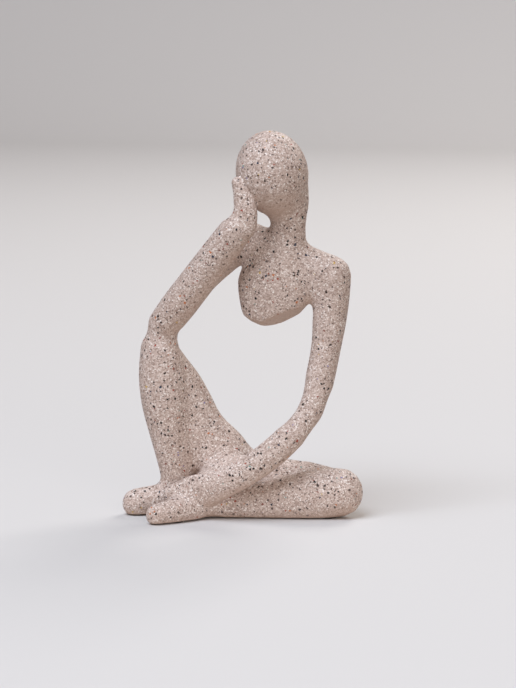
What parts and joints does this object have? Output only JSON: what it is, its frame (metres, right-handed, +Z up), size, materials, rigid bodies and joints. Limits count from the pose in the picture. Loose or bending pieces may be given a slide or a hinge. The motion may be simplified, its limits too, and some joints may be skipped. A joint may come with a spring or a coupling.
{
  "type": "thinker statue",
  "caption": "Abstract seated thinking figure in speckled stone-chip resin, one knee raised under the propped elbow, the other leg folded flat, standing on small felt pads.",
  "frame": {"origin": "middle of the figure's overall width and depth, on the plane of the felt pads' undersides", "axes": "+Z up, +X towards the folded knee, -Y towards the viewer in front, so the chest, the resting forearm and the folded lower leg face -Y"},
  "size_m": [0.1607, 0.0844, 0.2583],
  "materials": {
    "stone_resin": "matte sandstone with fine dark, cream, grey and rust chips",
    "pin_steel": "drawn bar",
    "pad_felt": "dark pressed felt"
  },
  "bodies": {
    "root": {"torso": "stone_resin", "head": "stone_resin", "raised_upper_arm": "stone_resin", "raised_forearm": "stone_resin", "raised_hand": "stone_resin", "resting_upper_arm": "stone_resin", "resting_forearm": "stone_resin", "hips": "stone_resin", "raised_thigh": "stone_resin", "raised_shin": "stone_resin", "raised_foot": "stone_resin", "folded_thigh": "stone_resin", "folded_shin": "stone_resin", "folded_foot": "stone_resin", "neck_pin": "pin_steel", "shoulder_pins": "pin_steel", "raised_elbow_pins": "pin_steel", "resting_elbow_pin": "pin_steel", "hand_pins": "pin_steel", "hip_pins": "pin_steel", "raised_knee_pin": "pin_steel", "folded_knee_pin": "pin_steel", "ankle_pins": "pin_steel", "raised_forearm_rod": "pin_steel", "raised_upper_arm_rod": "pin_steel", "resting_upper_arm_rod": "pin_steel", "resting_forearm_rod": "pin_steel", "raised_shin_rod": "pin_steel", "hips_pad": "pad_felt", "folded_knee_pad": "pad_felt", "front_foot_pad": "pad_felt", "back_foot_pad": "pad_felt"}
  },
  "joints": []
}
